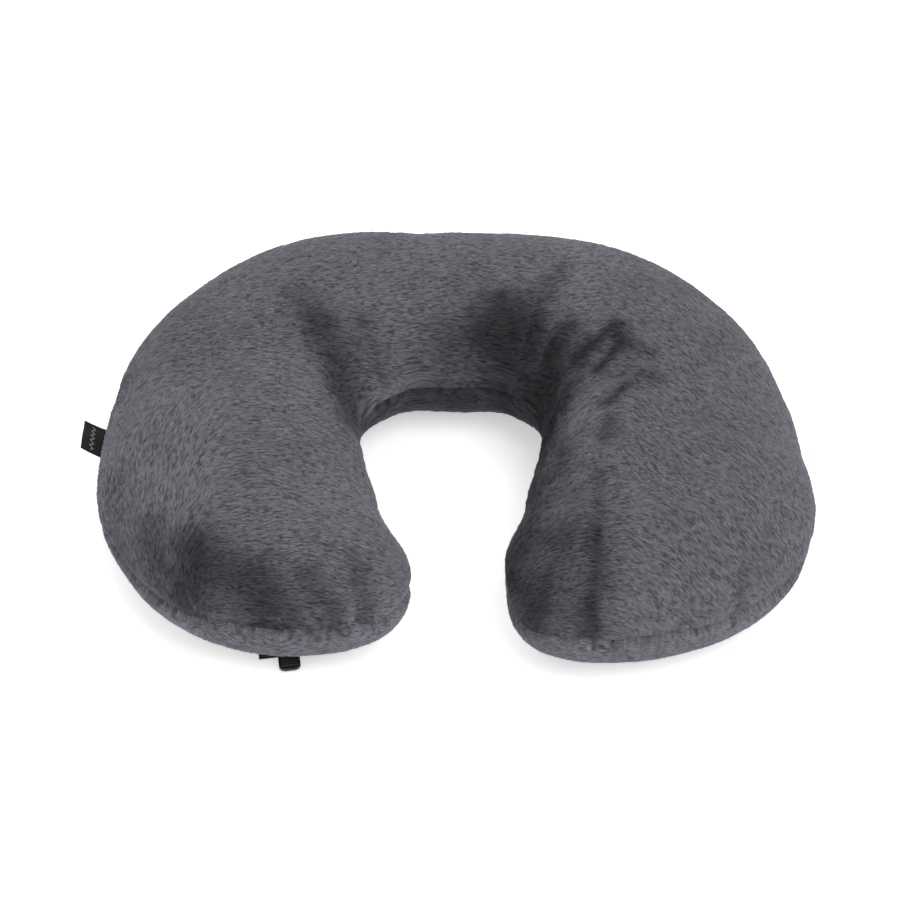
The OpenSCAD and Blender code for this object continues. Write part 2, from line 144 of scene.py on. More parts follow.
class Body:
    """The pillow's own form on a grid: stations along it, columns across one half of the section."""

    def __init__(self, steps, columns, bias=COLUMN_BIAS):
        outer, inner = line_of(0, steps), line_of(1, steps)
        self.place = np.concatenate([span + t for span, t in enumerate(shares(steps))])
        self.centre, self.reach = (outer + inner) / 2, (outer - inner) / 2
        n = len(outer)
        where = np.linspace(-1, 1, n)
        rise = smoothstep(np.abs(where) / NAPE_REACH)
        arm_h = np.where(where < 0, LEFT_H, RIGHT_H)
        self.upper_h = NAPE_H + (arm_h - NAPE_H) * rise
        from_tip = np.where(
            where < 0,
            np.linalg.norm(self.centre - self.centre[0], axis=1) / LEFT_END,
            np.linalg.norm(self.centre - self.centre[-1], axis=1) / RIGHT_END,
        )
        share = np.clip(from_tip, 0, 1)
        self.closing = (1 - (1 - share) ** SECTION_POWER) ** (1 / SECTION_POWER)
        self.closing[[0, -1]] = self.closing[[1, -2]] * 0.5
        j = np.arange(columns + 1) / columns
        self.angle = np.pi * (j - bias * np.sin(2 * np.pi * j) / (2 * np.pi))
        power = 2 / SECTION_POWER
        cos, sin = np.cos(self.angle), np.sin(self.angle)
        self.x = np.sign(cos) * np.abs(cos) ** power
        self.z = np.abs(sin) ** power
        self.z[[0, -1]] = 0

    def half(self, sign):
        """Points of the upper (+1) or lower (-1) half, as a grid of stations by columns."""
        height = (self.upper_h if sign > 0 else LOWER_H) * self.closing
        plan = self.centre[:, None] + self.reach[:, None] * self.x[None, :, None]
        lift = sign * height[:, None] * self.z[None]
        return np.dstack([plan, SEAM_Z + lift])


def moved_in(form, inset, least):
    """Centre line and reach of the outline moved in by a distance, to no less than a share."""
    width = np.linalg.norm(form.reach, axis=1)
    ends = (1 - form.closing**2) ** 0.5
    centre = form.centre + (inset * ends)[:, None] * np.array([0, 1.0])
    share = np.maximum(1 - inset / np.maximum(width, 1e-6), least)
    return centre, form.reach * share[:, None]


def laid_out(grid, outward):
    """Plan coordinates of the fabric laid out flat, so that its nap keeps its scale on steep sides."""
    drop = np.abs(np.abs(grid[..., 2] - SEAM_Z) - NAPE_H)
    return grid[..., :2] + outward[..., :2] * (SIDE_SPREAD * drop)[..., None]


def in_one_list(*grids):
    return np.concatenate([grid.reshape(-1, 3) for grid in grids])


def normals(grid, flip):
    """Unit normals of a grid, outward on an upper half, or on a lower one with flip."""
    along_grid = np.gradient(grid, axis=0)
    across_grid = np.gradient(grid, axis=1)
    n = np.cross(along_grid, across_grid) * (1 if flip else -1)
    return n / np.maximum(np.linalg.norm(n, axis=2, keepdims=True), 1e-12)


# ======== the zip's own frame: y runs back from the front end of the tapes ========

ZIP_START = np.array([-88, -126]) * MM
ZIP_TURN = math.radians(10)
TAPE_L = 150 * MM
TAPE_W = 33 * MM
TAPE_Z = 6.5 * MM         # outer face of the tapes
BED_Z = 7.6 * MM          # the fabric over the tapes
PLACKET_Z = 10.0 * MM     # the fabric behind the coils
PLACKET_HALF = 8 * MM     # half its width
BED_RAMP = 13 * MM        # slope from the bed up to the fabric around
BED_SIDE = 1.5 * MM       # the bed reaches this far past the tapes
BED_BACK = 2 * MM
BED_FRONT = 30 * MM


def zip_point(x, y, z):
    """Where a point given in the zip's own frame lies."""
    c, s = math.cos(ZIP_TURN), math.sin(ZIP_TURN)
    return (ZIP_START[0] + x * c - y * s, ZIP_START[1] + x * s + y * c, z)


def zip_coordinates(points):
    """Places of points in the zip's own frame."""
    c, s = math.cos(ZIP_TURN), math.sin(ZIP_TURN)
    dx, dy = points[..., 0] - ZIP_START[0], points[..., 1] - ZIP_START[1]
    return dx * c + dy * s, -dx * s + dy * c


def zip_valley(points):
    """Least height of the cover's underside round the zip, which lies sunk in a soft valley."""
    x, y = zip_coordinates(points)
    beside = np.maximum(np.abs(x) - TAPE_W / 2 - BED_SIDE, 0)
    beyond = np.maximum(y - TAPE_L - BED_BACK, 0) + np.maximum(-BED_FRONT - y, 0)
    share = smoothstep(1 - np.hypot(beside, beyond) / BED_RAMP)
    behind = smoothstep((PLACKET_HALF - np.abs(x)) / (1.5 * MM))
    behind = behind * smoothstep(y / (4 * MM)) * smoothstep((TAPE_L - y) / (4 * MM))
    return BED_Z * share + (PLACKET_Z - BED_Z) * behind


# ======== creases and swells of the cover ========


def from_line(points, line):
    """Distance from a line of points, in plan or in space as the line has it, and the share along it."""
    line = np.array(line, float) * MM
    points = points[..., : line.shape[1]]
    best = np.full(points.shape[:-1], 1e9)
    share = np.zeros(points.shape[:-1])
    lengths = np.linalg.norm(np.diff(line, axis=0), axis=1)
    total = lengths.sum()
    done = 0
    for a, b, length in zip(line[:-1], line[1:], lengths):
        t = np.clip(((points - a) @ (b - a)) / length**2, 0, 1)
        d = np.linalg.norm(points - a - t[..., None] * (b - a), axis=-1)
        nearer = d < best
        best = np.where(nearer, d, best)
        share = np.where(nearer, (done + t * length) / total, share)
        done += length
    return best, share


# Folds of the upper panel in plan: line, half width, depth, and where the fold is deepest along it.
FOLDS = [
    ([(-96, 88), (-74, 48), (-63, 15), (-54, -14)], 7.0, 4.0, 0.7),
    ([(48, 92), (43, 70), (36, 46)], 3.8, 2.0, 0.75),
    ([(64, 84), (55, 62), (46, 40)], 3.6, 2.2, 0.7),
    ([(84, 72), (70, 56), (56, 32)], 4.4, 2.2, 0.7),
    ([(112, 60), (94, 42), (74, 22)], 4.6, 2.2, 0.6),
    ([(124, 34), (104, 20), (82, 6)], 3.8, 2.2, 0.6),
    ([(100, -18), (84, -26), (66, -34)], 4.2, 1.6, 0.6),
    ([(78, -34), (83, -62), (82, -100), (78, -140)], 5.0, 2.8, 0.88),
    ([(154, -108), (156, -126), (155, -142)], 4.0, 2.4, 0.9),
    ([(118, -122), (120, -134), (121, -142)], 3.6, 1.6, 0.9),
    ([(-46, -100), (-46, -122), (-50, -150)], 5.0, 3.0, 0.88),
    ([(-112, -116), (-116, -128), (-118, -142)], 4.6, 1.8, 0.8),
    ([(-176, -40), (-183, -66), (-178, -90)], 5.0, 2.0, 0.6),
]

# Folds of the lower panel on the wall of the neck opening, in space.
WALL_FOLDS = [
    ([(-30, 46, 40), (-16, 49, 26)], 3.0, 1.2, 0.5),
    ([(6, 51, 42), (20, 48, 28)], 2.6, 1.6, 0.5),
    ([(26, 47, 40), (32, 44, 30)], 2.6, 1.2, 0.5),
]
FOLD_END = 1.06           # a fold runs out at this share of its line
RIDGE_OUT = 2.1           # distance and half width of the ridge beside a fold, in half widths
RIDGE_W = 1.1
RIDGE_H = 0.4             # height of the ridge against the depth


def fold_relief(points, folds):
    """Creases with a soft ridge on both sides, deepest at one place of each line."""
    total = np.zeros(points.shape[:-1])
    for line, width, depth, deepest in folds:
        d, share = from_line(points, line)
        taper = smoothstep(np.minimum(share / deepest, (FOLD_END - share) / (FOLD_END - deepest)))
        w = width * MM
        valley = np.exp(-((d / w) ** 2))
        ridge = np.exp(-(((d - RIDGE_OUT * w) / (RIDGE_W * w)) ** 2))
        total -= depth * MM * taper * (valley - RIDGE_H * ridge)
    return total


# Gathers at the seams: height, size, reach into the panel, start from the seam, offset of the seed.
GATHERS = [(0.45, 7, 9, 2, 0), (1.0, 19, 20, 5, 10)]


def seam_relief(grid):
    """Gathers that run in from both seams, made by the thread pulling the fabric short."""
    total = np.zeros(grid.shape[:2])
    step = np.linalg.norm(np.diff(grid, axis=1), axis=2)
    length = np.concatenate([np.zeros((len(step), 1)), np.cumsum(step, axis=1)], axis=1)
    for edge, d, seed in ((0, length, 3), (-1, length[:, -1:] - length, 4)):
        seam = np.repeat(grid[:, edge][:, None], grid.shape[1], axis=1)
        for height, size, reach, start, more in GATHERS:
            wave = noise(seam, size * MM, seed + more)
            total += height * MM * wave * np.exp(-d / (reach * MM)) * smoothstep(d / (start * MM))
    return total


def surface_relief(grid, seed):
    """Slow swells of the filling, unevenness of the pile, and the gathers, in metres."""
    swell = 0.9 * noise(grid, 75 * MM, seed) + 0.5 * noise(grid, 33 * MM, seed + 1)
    nap = 0.16 * noise(grid, 9 * MM, seed + 2) + 0.12 * noise(grid, 4.2 * MM, seed + 3)
    return (swell + nap) * MM + seam_relief(grid)


# ======== cloth ========

CLOTH_STEPS = [16, 9, 10, 15, 17, 16, 16, 17, 15, 10, 9, 16]
CLOTH_COLUMNS = 44
CLOTH_FRAMES = 20
CLOTH_PRESSURE = 4.0
CLOTH_SHRINK = -0.035     # below zero: the fabric is cut this much larger than the form
CLOTH_CAP = 6 * MM        # the most that a point may move
FORM_PASSES = 30          # smoothing that leaves the inflated form without its wrinkles
CLOTH_SHARE = 0.45        # how much of the simulated wrinkles the plush shows


def both_halves(form):
    """A closed mesh of both halves: points, faces, and the point numbers on each half's grid."""
    upper, lower = form.half(1), form.half(-1)
    n, m = upper.shape[:2]
    upper_at = np.arange(n * m).reshape(n, m)
    lower_at = upper_at.copy()
    lower_at[:, 1:-1] = n * m + np.arange(n * (m - 2)).reshape(n, m - 2)
    points = in_one_list(upper, lower[:, 1:-1])
    faces = []
    for at, flip in ((upper_at, False), (lower_at, True)):
        quads = np.stack([at[:-1, :-1], at[:-1, 1:], at[1:, 1:], at[1:, :-1]], axis=2).reshape(-1, 4)
        faces += (quads[:, ::-1] if flip else quads).tolist()
    for k, flip in ((0, True), (n - 1, False)):
        ring = list(upper_at[k]) + list(lower_at[k, -2:0:-1])
        faces.append(ring[::-1] if flip else ring)
    return points, faces, upper_at, lower_at


def simulated_swell(form):
    """The wrinkles of the inflated cloth on the upper and the lower half, as heights on their grids."""
    points, faces, upper_at, lower_at = both_halves(form)
    mesh = bpy.data.meshes.new("cloth_form")
    mesh.from_pydata([tuple(p) for p in points], [], faces)
    cloth = new_object("cloth_form", mesh)
    held = np.unique(np.concatenate([
        upper_at[:, 0], upper_at[:, -1], upper_at[0], upper_at[-1], lower_at[0], lower_at[-1],
    ]))
    cloth.vertex_groups.new(name="seam").add(held.tolist(), 1.0, "REPLACE")
    modifier = cloth.modifiers.new("cloth", "CLOTH")
    settings = modifier.settings
    settings.quality = 6
    settings.mass = 0.15
    settings.tension_stiffness = settings.compression_stiffness = 12
    settings.shear_stiffness = 6
    settings.bending_stiffness = 0.15
    settings.use_pressure = True
    settings.uniform_pressure_force = CLOTH_PRESSURE
    settings.shrink_min = CLOTH_SHRINK
    settings.vertex_group_mass = "seam"
    settings.effector_weights.gravity = 0
    modifier.collision_settings.use_self_collision = False
    modifier.point_cache.frame_start, modifier.point_cache.frame_end = 1, CLOTH_FRAMES
    scene = bpy.context.scene
    for number in range(1, CLOTH_FRAMES + 1):
        scene.frame_set(number)
    done = cloth.evaluated_get(bpy.context.evaluated_depsgraph_get())
    moved = np.zeros(len(points) * 3)
    done.data.vertices.foreach_get("co", moved)
    moved = moved.reshape(-1, 3) - points
    bpy.data.objects.remove(cloth)
    bpy.data.meshes.remove(mesh)
    scene.frame_set(1)
    found = []
    for at, flip in ((upper_at, False), (lower_at, True)):
        outward = normals(points[at], flip)
        off = np.clip(np.sum(moved[at] * outward, axis=2), -CLOTH_CAP, CLOTH_CAP)
        found.append(CLOTH_SHARE * blurred(off - blurred(off, FORM_PASSES), 2))
    return found


def on_finer(values, coarse, fine):
    """Values of a coarse grid read at the places of a finer one."""
    rows = np.interp(fine.place, coarse.place, np.arange(len(coarse.place)))
    columns = np.interp(fine.angle, coarse.angle, np.arange(len(coarse.angle)))
    i = np.minimum(rows.astype(int), len(coarse.place) - 2)
    j = np.minimum(columns.astype(int), len(coarse.angle) - 2)
    u, v = smoothstep(rows - i)[:, None], smoothstep(columns - j)[None]
    return (
        (1 - u) * (1 - v) * values[i][:, j] + u * (1 - v) * values[i + 1][:, j]
        + (1 - u) * v * values[i][:, j + 1] + u * v * values[i + 1][:, j + 1]
    )


# ======== meshes ========


def new_object(name, data):
    made = bpy.data.objects.new(name, data)
    bpy.context.scene.collection.objects.link(made)
    return made


def mesh_object(name, points, faces, material, smooth=True):
    mesh = bpy.data.meshes.new(name)
    mesh.from_pydata([tuple(p) for p in points], [], faces)
    mesh.materials.append(material)
    if smooth:
        mesh.shade_smooth()
    mesh.update()
    return new_object(name, mesh)


def grid_quads(n, m, at, flip):
    i, j = np.meshgrid(np.arange(n - 1), np.arange(m - 1), indexing="ij")
    a = (at + i * m + j).ravel()
    quads = np.stack([a, a + 1, a + m + 1, a + m], axis=1)
    return quads[:, ::-1] if flip else quads


def joined_edge(fine, coarse, step, flip):
    """Faces between a fine edge loop and a coarse one with one point to each `step` of the fine."""
    faces = []
    for k in range(len(coarse) - 1):
        strip = list(fine[k * step : (k + 1) * step + 1]) + [coarse[k + 1], coarse[k]]
        faces.append(strip[::-1] if flip else strip)
    return faces


def panel(name, outside, inside, step, flip, material):
    """A closed sheet of fabric: a fine outer face, a coarser lining face and the cut edge between."""
    n, m = outside.shape[:2]
    p, q = inside.shape[:2]
    outer_at = np.arange(n * m).reshape(n, m)
    inner_at = n * m + np.arange(p * q).reshape(p, q)
    faces = grid_quads(n, m, 0, flip).tolist() + grid_quads(p, q, n * m, not flip).tolist()
    for edge, turned in ((0, flip), (-1, not flip)):
        faces += joined_edge(outer_at[:, edge], inner_at[:, edge], step, turned)
    for edge, turned in ((0, not flip), (-1, flip)):
        faces += joined_edge(outer_at[edge], inner_at[edge], step, turned)
    return mesh_object(name, in_one_list(outside, inside), faces, material)


def set_attribute(data, name, values, domain="POINT"):
    kind = "FLOAT_VECTOR" if values.ndim == 2 else "FLOAT"
    channel = data.attributes.new(name, kind, domain)
    key = "vector" if kind == "FLOAT_VECTOR" else "value"
    channel.data.foreach_set(key, values.astype(np.float32).ravel())


# ======== materials ========


def new_material(name, **shader_values):
    material = bpy.data.materials.new(name)
    material.use_nodes = True
    tree = material.node_tree
    shader = next(n for n in tree.nodes if n.type == "BSDF_PRINCIPLED")
    for key, value in shader_values.items():
        shader.inputs[key.replace("_", " ")].default_value = value
    return material, tree, shader


def add(tree, kind, inputs=None, **settings):
    node = tree.nodes.new("ShaderNode" + kind)
    for key, value in settings.items():
        setattr(node, key, value)
    for key, value in (inputs or {}).items():
        if isinstance(value, bpy.types.NodeSocket):
            tree.links.new(value, node.inputs[key])
        else:
            node.inputs[key].default_value = value
    return node


def ramp(tree, value, stops):
    node = add(tree, "ValToRGB", {"Fac": value})
    elements = node.color_ramp.elements
    for element, (place, color) in zip(elements, stops):
        element.position, element.color = place, color
    for place, color in stops[2:]:
        elements.new(place).color = color
    return node.outputs["Color"]


def grey(v, blue=1.0):
    return (v, v * 0.985, v * blue, 1)


def math_node(tree, operation, a, b=0.0, c=0.0, clamp=False):
    node = add(tree, "Math", {0: a, 1: b, 2: c}, operation=operation, use_clamp=clamp)
    return node.outputs[0]


def vector_node(tree, operation, inputs):
    return add(tree, "VectorMath", inputs, operation=operation).outputs[0]


def texture(tree, kind, place, scale, **inputs):
    """Value of a noise or wave texture; a wave may say which way its bands run."""
    settings = {"bands_direction": inputs.pop("bands")} if "bands" in inputs else {}
    inputs = {"Vector": place, "Scale": scale, **inputs}
    return add(tree, "Tex" + kind, inputs, **settings).outputs["Fac"]


def attribute(tree, name, output="Fac"):
    return add(tree, "Attribute", attribute_name=name).outputs[output]


def object_place(tree):
    return add(tree, "TexCoord").outputs["Object"]


def colored(tree, shader, value, stops):
    tree.links.new(ramp(tree, value, stops), shader.inputs["Base Color"])


def two_tones(tree, shader, factor, one, two):
    """Base colour between two colours, each a socket or a constant."""
    mix = add(tree, "Mix", {"Factor": factor, 6: one, 7: two}, data_type="RGBA")
    tree.links.new(mix.outputs[2], shader.inputs["Base Color"])


def bumped(tree, shader, height, strength, distance):
    bump = add(tree, "Bump", {"Height": height, "Strength": strength, "Distance": distance})
    tree.links.new(bump.outputs[0], shader.inputs["Normal"])


def plush_material():
    material, tree, shader = new_material(
        "plush", Roughness=0.95, Sheen_Weight=0.22, Sheen_Roughness=0.5,
        Sheen_Tint=(0.8, 0.8, 0.86, 1), Specular_IOR_Level=0.12,
    )
    nap = attribute(tree, "nap", "Vector")
    # painted shade mixed with the nap's dark side, from the strokes
    dark_nap_and_shade = attribute(tree, "dark_nap_and_shade")
    # the tufts bend one way and then another
    drift = add(tree, "TexNoise", {"Vector": nap, "Scale": 130.0, "Detail": 1.0})
    moved = vector_node(tree, "SUBTRACT", {0: drift.outputs["Color"], 1: (0.5, 0.5, 0.5)})
    moved = vector_node(tree, "SCALE", {0: moved, "Scale": 0.006})
    bent = vector_node(tree, "ADD", {0: nap, 1: moved})
    stretched = add(tree, "Mapping", {"Vector": bent, "Scale": (0.34, 1.0, 1.0)}).outputs[0]
    tufts = texture(tree, "Noise", stretched, 1150.0, Detail=1.5, Roughness=0.5)
    clumps = texture(tree, "Noise", stretched, 460.0, Detail=1.0)
    mottle = texture(tree, "Noise", nap, 38.0, Detail=4.0, Roughness=0.62)
    # darker where the nap lies the other way and shows its dark side, and where shade is painted into the
    # inner valleys, corners, creases and the neck wall
    dark = math_node(tree, "MULTIPLY", mottle, 0.8)
    dark = math_node(tree, "ADD", dark, -0.36)
    dark = math_node(tree, "ADD", dark, dark_nap_and_shade, clamp=True)
    # painted light and shade on the tufts: the colour is lighter where the tuft bump is high and darker
    # where it is low
    pile = math_node(tree, "MULTIPLY", clumps, 0.35)
    pile = math_node(tree, "MULTIPLY_ADD", tufts, 0.65, pile)
    light = ramp(tree, pile, [(0.40, grey(0.055, 1.10)), (0.60, grey(0.150, 1.10))])
    deep = ramp(tree, pile, [(0.40, grey(0.020, 1.12)), (0.60, grey(0.060, 1.12))])
    two_tones(tree, shader, dark, light, deep)
    bumped(tree, shader, pile, 0.9, 0.0011)
    return material


def floor_material():
    return new_material(
        "floor", Roughness=0.8, Base_Color=(0.93, 0.93, 0.93, 1),
        Emission_Color=(1, 1, 1, 1), Emission_Strength=0.45,
    )[0]


# ======== the cover ========

COLUMNS = 140
INNER_STEP = 4            # the lining has one column and station to this many of the outer face
PILE_H = 0.6 * MM         # the tips of the pile stand this far off the fabric
body = Body(SPAN_STEPS, COLUMNS)
cloth_form = Body(CLOTH_STEPS, CLOTH_COLUMNS, bias=0)
upper_swell, lower_swell = [
    on_finer(swell, cloth_form, body) for swell in simulated_swell(cloth_form)
]

# Where the nap lies the other way and shows its dark side, and where shade is painted into the inner
# valleys, corners and creases, in plan: line, half width, strength.
STROKES = [
    ([(-98, 84), (-82, 58)], 10, 0.4),
    ([(-82, 58), (-70, 34), (-60, 2)], 13, 0.76),
    ([(-56, 66), (-50, 48)], 8, 0.35),
    ([(60, 104), (54, 90), (42, 70)], 8, 0.5),
    ([(-10, 60), (16, 62)], 12, 0.35),
    ([(18, 66), (38, 60)], 19, 0.8),
    ([(32, 70), (50, 44), (54, 12)], 18, 0.95),
    ([(54, 34), (54, 4), (48, -20)], 10, 1.0),
    ([(68, 60), (50, 42)], 5, 0.6),
    ([(92, 56), (82, 46), (70, 36)], 5, 0.85),
    ([(96, 46), (90, 36), (82, 24)], 6, 0.9),
    ([(98, 36), (112, 32)], 5, 0.45),
    ([(100, 14), (114, 10)], 8, 0.5),
    ([(96, 4), (86, -6)], 4, 0.7),
    ([(86, -22), (84, -32)], 6, 0.55),
    ([(60, -36), (57, -48)], 9, 0.55),
    ([(48, -30), (44, -70), (36, -104)], 9, 0.7),
    ([(62, -70), (60, -110), (64, -136)], 20, 0.45),
    ([(80, -62), (78, -100), (75, -142)], 5, 0.5),
    ([(77, -104), (74, -142)], 5, 0.68),
    ([(36, -96), (58, -106)], 10, 0.6),
    ([(50, -122), (48, -136)], 7, 0.55),
    ([(36, -112), (44, -136)], 8, 0.7),
    ([(156, -116), (155, -134)], 5, 0.35),
    ([(-186, -66), (-180, -92)], 8, 0.22),
    ([(-170, -100), (-156, -120)], 14, 0.28),
    ([(-162, -94), (-156, -114)], 8, 0.5),
    ([(-138, -112), (-142, -128)], 11, 0.72),
    ([(-136, -122), (-100, -134)], 11, 0.72),
    ([(-104, -130), (-102, -140)], 7, 0.5),
    ([(-94, -136), (-82, -140)], 6, 0.6),
    ([(-74, -132), (-62, -140)], 6, 0.65),
    ([(-50, -122), (-46, -140)], 6, 0.5),
]
# painted shade: the lower panel's wall of the neck opening is darkened where it lies in shadow
WALL_STROKES = [([(-50, 22), (-28, 46), (0, 50), (28, 46), (50, 22)], 16, 0.85)]


def dark_nap_and_shade_areas(points, strokes):
    """How dark each point looks, from 0 to 1, with ragged edges: the nap's dark side and painted shade.
    """
    ragged = 0.35 * noise(points, 15 * MM, 31) + 0.45 * noise(points, 5 * MM, 32)
    left = np.ones(points.shape[:-1])
    for line, width, strength in strokes:
        d, _ = from_line(points, line)
        left *= 1 - strength * np.exp(-((d / (width * MM)) ** 2) * (1 + ragged))
    return 1 - left


NAP_TURN = math.radians(-32)
NAP_FROM = 10 * MM        # the nap of the base fabric turns from this x, over this width
NAP_RAMP = 110 * MM


def nap_coordinates(grid, outward, sign):
    """Laid out plan, turned where the nap runs aslant on the right arm."""
    flat = laid_out(grid, outward)
    turn = NAP_TURN * smoothstep((flat[..., 0] - NAP_FROM) / NAP_RAMP)
    x = flat[..., 0] * np.cos(turn) + flat[..., 1] * np.sin(turn)
    y = -flat[..., 0] * np.sin(turn) + flat[..., 1] * np.cos(turn)
    return np.dstack([x, y, np.full_like(x, 0.5 + 0.5 * sign)])


def rest_on_floor(z, rounding):
    """Height with the underside pressed flat, and a rounded edge to the flat."""
    return np.where(z > rounding, z, np.where(z < -rounding, 0, (z + rounding) ** 2 / (4 * rounding)))


UPPER_TUCK = 3.0 * MM     # how far each panel is pulled in at the seam
LOWER_TUCK = 6.0 * MM
TUCK_REACH = 5 * MM       # height over which the pull fades
LIP = 1.8 * MM            # how far the edge of the upper panel hangs over the seam
LIP_REACH = 2 * MM
FLOOR_ROUNDING = 5 * MM


def tucked(grid, sign):
    """Pulls the edges of a panel into the seam valley."""
    above = np.abs(grid[..., 2] - SEAM_Z)
    width = np.maximum(np.linalg.norm(body.reach, axis=1), 1e-5)
    side = np.sign(body.x) * smoothstep(np.abs(body.x) / 0.6)
    out = (body.reach / width[:, None])[:, None] * side[None, :, None]
    tuck = (UPPER_TUCK if sign > 0 else LOWER_TUCK) * np.exp(-((above / TUCK_REACH) ** 1.4))
    sideways = np.minimum(tuck, 0.4 * width[:, None]) * body.closing[:, None]
    moved = grid.copy()
    moved[..., :2] -= out * sideways[..., None]
    moved[..., 1] += tuck * ((1 - body.closing**2) ** 0.5)[:, None]
    if sign > 0:
        moved[..., 2] -= LIP * np.exp(-above / LIP_REACH)
    return moved


def cover_panel(name, sign, seed, folds, swell, material):
    """One panel of the cover; the lower one lies flat on the floor and leaves room for the zip."""
    flip = sign < 0
    grid = body.half(sign)
    relief = surface_relief(grid, seed) + fold_relief(grid, folds) + swell
    relief = relief * body.closing[:, None] ** 0.5 - PILE_H
    grid = tucked(grid, sign)
    outward = normals(grid, flip)
    outside = grid + outward * relief[..., None]
    if flip:
        resting = rest_on_floor(outside[..., 2], FLOOR_ROUNDING)
        outside[..., 2] = np.maximum(resting, zip_valley(outside))
    lining = outside[::INNER_STEP, ::INNER_STEP]
    inside = lining - normals(lining, flip) * PLUSH_T
    if flip:
        inside[..., 2] = np.maximum(inside[..., 2], lining[..., 2] + 0.5 * PLUSH_T)
    piece = panel(name, outside, inside, INNER_STEP, flip, material)
    nap = nap_coordinates(outside, outward, sign)
    set_attribute(piece.data, "nap", in_one_list(nap, nap[::INNER_STEP, ::INNER_STEP]))
    # the nap's dark side and the painted shade of the strokes
    dark_nap_and_shade = dark_nap_and_shade_areas(outside, WALL_STROKES if flip else STROKES)
    plain = np.zeros(lining.shape[0] * lining.shape[1])
    set_attribute(piece.data, "dark_nap_and_shade", np.concatenate([dark_nap_and_shade.ravel(), plain]))
    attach(piece, "pillow")
    return piece, outside


plush = plush_material()
upper, upper_grid = cover_panel("cover_upper_plush", 1, 5, FOLDS, upper_swell, plush)
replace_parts(upper, "cover_upper_panel")
lower, lower_grid = cover_panel("cover_lower_plush", -1, 45, WALL_FOLDS, lower_swell, plush)
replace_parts(lower, "cover_lower_panel")

# ======== the pile ========

STRANDS = 800_000
STRAND_L = 2.3 * MM
STRAND_R = 0.10 * MM
STRAND_SHAPE = [1.0, 1.0, 0.8, 0.25]     # thickness at each of a strand's four points
STAND, STAND_DASH, STAND_RANDOM = 0.22, 0.16, 0.08     # rise of a strand's tip, in lengths
ROOT_DEPTH = 0.2 * MM
# the dashes that stand up get painted light and the low gaps between them painted shade; the random
# spread is the strands' own tone
SHADE_MID, SHADE_DASH, SHADE_GAP, SHADE_RANDOM = 0.58, 0.64, 0.10, 0.2     # tone of the strands
DASH_L = 2.3 * MM         # the pile parts in short dashes of this length and width
DASH_W = 0.70 * MM
RIGHT_WAY = math.radians(-42)            # way of the nap on the right arm, and where it turns
RIGHT_FROM, RIGHT_RAMP = 64 * MM, 56 * MM
LEFT_WAY = math.radians(72)              # and at the front of the left arm's outer side
LEFT_FROM, LEFT_RAMP = 116 * MM, 34 * MM
FRONT_FROM, FRONT_RAMP = 30 * MM, 70 * MM


def nap_ways(points):
    """The ways the nap runs in plan, as angles, and how much each one counts at each point."""
    right = smoothstep((points[:, 0] - RIGHT_FROM) / RIGHT_RAMP)
    left = smoothstep((-points[:, 0] - LEFT_FROM) / LEFT_RAMP)
    left = left * smoothstep((FRONT_FROM - points[:, 1]) / FRONT_RAMP)
    return [(0.0, (1 - right) * (1 - left)), (RIGHT_WAY, right), (LEFT_WAY, left)]


def waves(flat):
    """How far the nap wanders sideways."""
    return 4.5 * MM * noise(flat, 32 * MM, 71) + 0.9 * MM * noise(flat, 8 * MM, 72)


def dashes(flat, ways, seed):
    """Short wavy dashes along the nap, between about -1 and 1."""
    total, power = 0, 0
    wander = waves(flat)
    for angle, weight in ways:
        x = (flat[:, 0] * math.cos(angle) + flat[:, 1] * math.sin(angle)) / DASH_L
        y = (flat[:, 1] * math.cos(angle) - flat[:, 0] * math.sin(angle) + wander) / DASH_W
        total = total + weight * noise(np.stack([x, y, 0.31 * x + 0.17 * y], axis=1), 1, seed)
        power = power + weight**2
    return total / np.sqrt(power)


def nap_direction(flat, ways, outward):
    """The way the pile lies, along the surface."""
    turn = sum(angle * weight for angle, weight in ways)
    step = 1.0 * MM
    ahead = flat.copy()
    ahead[:, 0] += step * np.cos(turn)
    ahead[:, 1] += step * np.sin(turn)
    turn = turn - (waves(ahead) - waves(flat)) / step
    lie = np.stack([np.cos(turn), np.sin(turn), np.zeros(len(turn))], axis=1)
    lie -= outward * np.sum(lie * outward, axis=1, keepdims=True)
    return lie / np.maximum(np.linalg.norm(lie, axis=1, keepdims=True), 1e-6)


